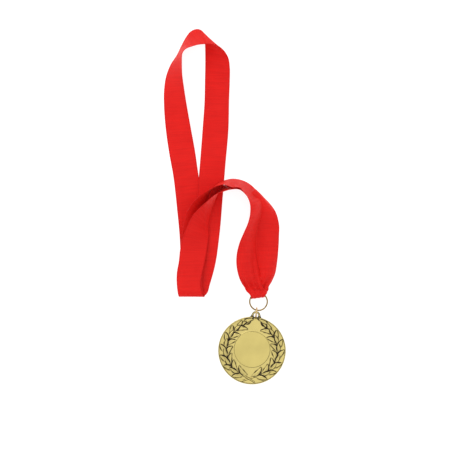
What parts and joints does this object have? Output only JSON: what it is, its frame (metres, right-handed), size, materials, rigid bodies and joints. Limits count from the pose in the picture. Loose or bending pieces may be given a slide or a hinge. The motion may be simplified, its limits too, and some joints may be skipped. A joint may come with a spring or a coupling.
{
  "type": "award medal on a neck ribbon",
  "caption": "Round award medal with a laurel relief and a plain centre, hung by a jump ring and a large ring from a looped neck ribbon lying on a table.",
  "frame": {"origin": "centre of the medal's flat back face", "axes": "+Y from the medal's centre to its lug, +Z out of the medal's face, away from the table"},
  "size_m": [0.1116, 0.257, 0.0205],
  "materials": {
    "antique_gold": "satin gold plating with dark antiquing in the relief",
    "satin_gold": "fine satin",
    "ring_gold": "polished wire",
    "red_ribbon": "fine ribbed weave with woven selvedges",
    "red_thread": "sewing thread"
  },
  "bodies": {
    "ribbon": {"gathered_end": "red_ribbon", "bar_tack": "red_thread", "ribbon_neck_bend": "red_ribbon", "ribbon_left_run": "red_ribbon", "ribbon_right_run": "red_ribbon", "ribbon_outer_fold": "red_ribbon", "ribbon_inner_fold": "red_ribbon", "ribbon_front_rise": "red_ribbon", "ribbon_back_rise": "red_ribbon", "ribbon_front_tail": "red_ribbon", "ribbon_back_tail": "red_ribbon"},
    "large_ring": {"large_ring": "ring_gold"},
    "jump_ring": {"jump_ring": "ring_gold"},
    "medal": {"medal_body": "antique_gold", "centre_disc": "satin_gold"}
  },
  "joints": [
    {"name": "large_ring_swing", "type": "hinge", "parent": "ribbon", "child": "large_ring", "pos_m": [0, 0.04197, 0.0023], "axis": [-0.9936, -0.1132, 0], "range_deg": [-90, 50]},
    {"name": "jump_ring_swing", "type": "hinge", "parent": "large_ring", "child": "jump_ring", "pos_m": [0, 0.03009, 0.0023], "axis": [-1, 0, 0], "range_deg": [-90, 50]},
    {"name": "medal_swing", "type": "hinge", "parent": "jump_ring", "child": "medal", "pos_m": [0, 0.0284, 0.004], "axis": [-1, 0, 0], "range_deg": [0, 60]}
  ]
}
